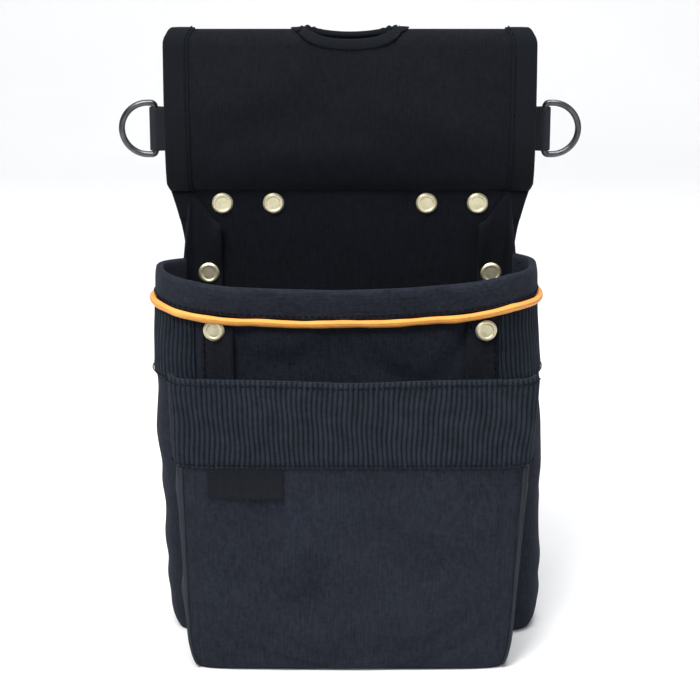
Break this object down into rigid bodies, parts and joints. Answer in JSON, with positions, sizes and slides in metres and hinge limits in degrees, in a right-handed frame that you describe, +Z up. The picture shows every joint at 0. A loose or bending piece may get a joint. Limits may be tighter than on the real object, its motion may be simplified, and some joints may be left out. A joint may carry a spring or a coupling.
{
  "type": "electrician tool pouch",
  "caption": "Belt-worn tool pouch of stiff dark cloth: open main bag, lower front pocket, belt tunnel folded at the top, D-rings at its sides.",
  "frame": {"origin": "centre of the bounding box's bottom face, level with the pouch's flat base", "axes": "+X to the side, towards the right-hand ring seen from the front; -Y out of the front pocket, +Y towards the wearer; +Z up to the belt tunnel"},
  "size_m": [0.2518, 0.11, 0.3318],
  "materials": {
    "body_cloth": "tight plain weave of coarse nylon, coated inside, dark navy",
    "back_cloth": "tight plain weave of coarse nylon, dark navy",
    "core_board": "plain sheet plastic, hidden between cloths",
    "binding_tape": "woven binding tape with a fine zigzag rib, near black",
    "ribbed_webbing": "webbing with raised ribs across its length, dark blue-grey",
    "piping": "smooth covered cord, orange-yellow",
    "label": "woven label, blank, with a plain border",
    "tab_webbing": "narrow flat webbing",
    "ring_metal": "satin dark grey wire",
    "rivet_brass": "pale satin brass"
  },
  "bodies": {
    "pouch": {"back_panel": "body_cloth", "belt_loop_panel": "body_cloth", "back_cover": "back_cloth", "back_core_board": "core_board", "left_edge_binding": "binding_tape", "right_edge_binding": "binding_tape", "cutout_binding": "binding_tape", "main_front_panel": "body_cloth", "main_left_gusset": "body_cloth", "main_right_gusset": "body_cloth", "main_bottom": "body_cloth", "left_side_webbing": "ribbed_webbing", "right_side_webbing": "ribbed_webbing", "mouth_binding": "body_cloth", "mouth_piping": "piping", "pocket_front_panel": "body_cloth", "pocket_left_gusset": "body_cloth", "pocket_right_gusset": "body_cloth", "pocket_bottom": "body_cloth", "pocket_webbing": "ribbed_webbing", "pocket_left_piping": "binding_tape", "pocket_right_piping": "binding_tape", "pocket_label": "label", "left_ring_tab": "tab_webbing", "right_ring_tab": "tab_webbing", "rivet_caps": "rivet_brass", "rivet_posts": "rivet_brass"},
    "left_ring": {"left_d_ring": "ring_metal"},
    "right_ring": {"right_d_ring": "ring_metal"}
  },
  "joints": [
    {"name": "left_ring_swing", "type": "hinge", "parent": "pouch", "child": "left_ring", "pos_m": [-0.106, 0.04945, 0.276], "axis": [0, 0, 1], "range_deg": [-118, 98]},
    {"name": "right_ring_swing", "type": "hinge", "parent": "pouch", "child": "right_ring", "pos_m": [0.106, 0.04945, 0.276], "axis": [0, 0, 1], "range_deg": [-98, 118]}
  ]
}
